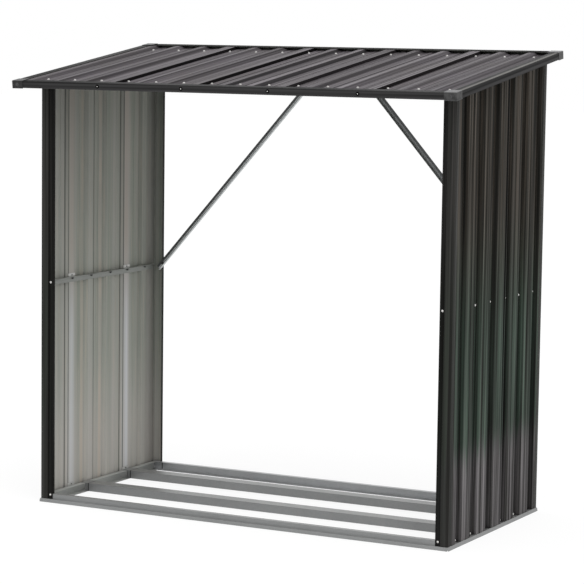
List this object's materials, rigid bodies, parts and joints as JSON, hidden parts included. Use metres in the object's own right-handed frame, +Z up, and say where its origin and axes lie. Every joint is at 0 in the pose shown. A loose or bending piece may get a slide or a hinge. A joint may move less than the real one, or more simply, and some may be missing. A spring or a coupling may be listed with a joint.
{
  "type": "log store",
  "caption": "Open metal log store with ribbed side walls, a ribbed roof sloping to the front, a slatted floor frame, an open front and back, and two diagonal rear braces.",
  "frame": {"origin": "centre of the whole store's footprint, at ground level", "axes": "+X to the right seen from the front, +Y from the open front to the open back, +Z up"},
  "size_m": [1.7196, 0.9336, 1.6594],
  "materials": {
    "galvanised": "galvanised, satin with a faint spangle",
    "dark_paint": "gloss anthracite outside, grey back coat inside",
    "roof_paint": "gloss anthracite above, grey back coat below",
    "grey_plastic": "matt moulded plastic"
  },
  "bodies": {
    "root": {"base_rail_front": "galvanised", "base_rail_rear": "galvanised", "base_rail_left": "galvanised", "base_rail_right": "galvanised", "floor_slat_front": "galvanised", "floor_slat_rear": "galvanised", "left_panel_front": "dark_paint", "left_panel_rear": "dark_paint", "right_panel_front": "dark_paint", "right_panel_rear": "dark_paint", "front_post_left": "dark_paint", "front_post_right": "dark_paint", "rear_post_left": "dark_paint", "rear_post_right": "dark_paint", "mid_rail_left": "galvanised", "mid_rail_right": "galvanised", "top_rail_left": "galvanised", "top_rail_right": "galvanised", "roof_beam_front": "galvanised", "roof_beam_rear": "galvanised", "brace_left": "galvanised", "brace_right": "galvanised", "roof_sheet_1": "roof_paint", "roof_sheet_2": "roof_paint", "roof_sheet_3": "roof_paint", "roof_sheet_4": "roof_paint", "roof_sheet_5": "roof_paint", "roof_trim_front": "dark_paint", "roof_trim_rear": "dark_paint", "roof_trim_left": "dark_paint", "roof_trim_right": "dark_paint", "corner_cap_front_left": "grey_plastic", "corner_cap_front_right": "grey_plastic", "corner_cap_rear_left": "grey_plastic", "corner_cap_rear_right": "grey_plastic"}
  },
  "joints": []
}
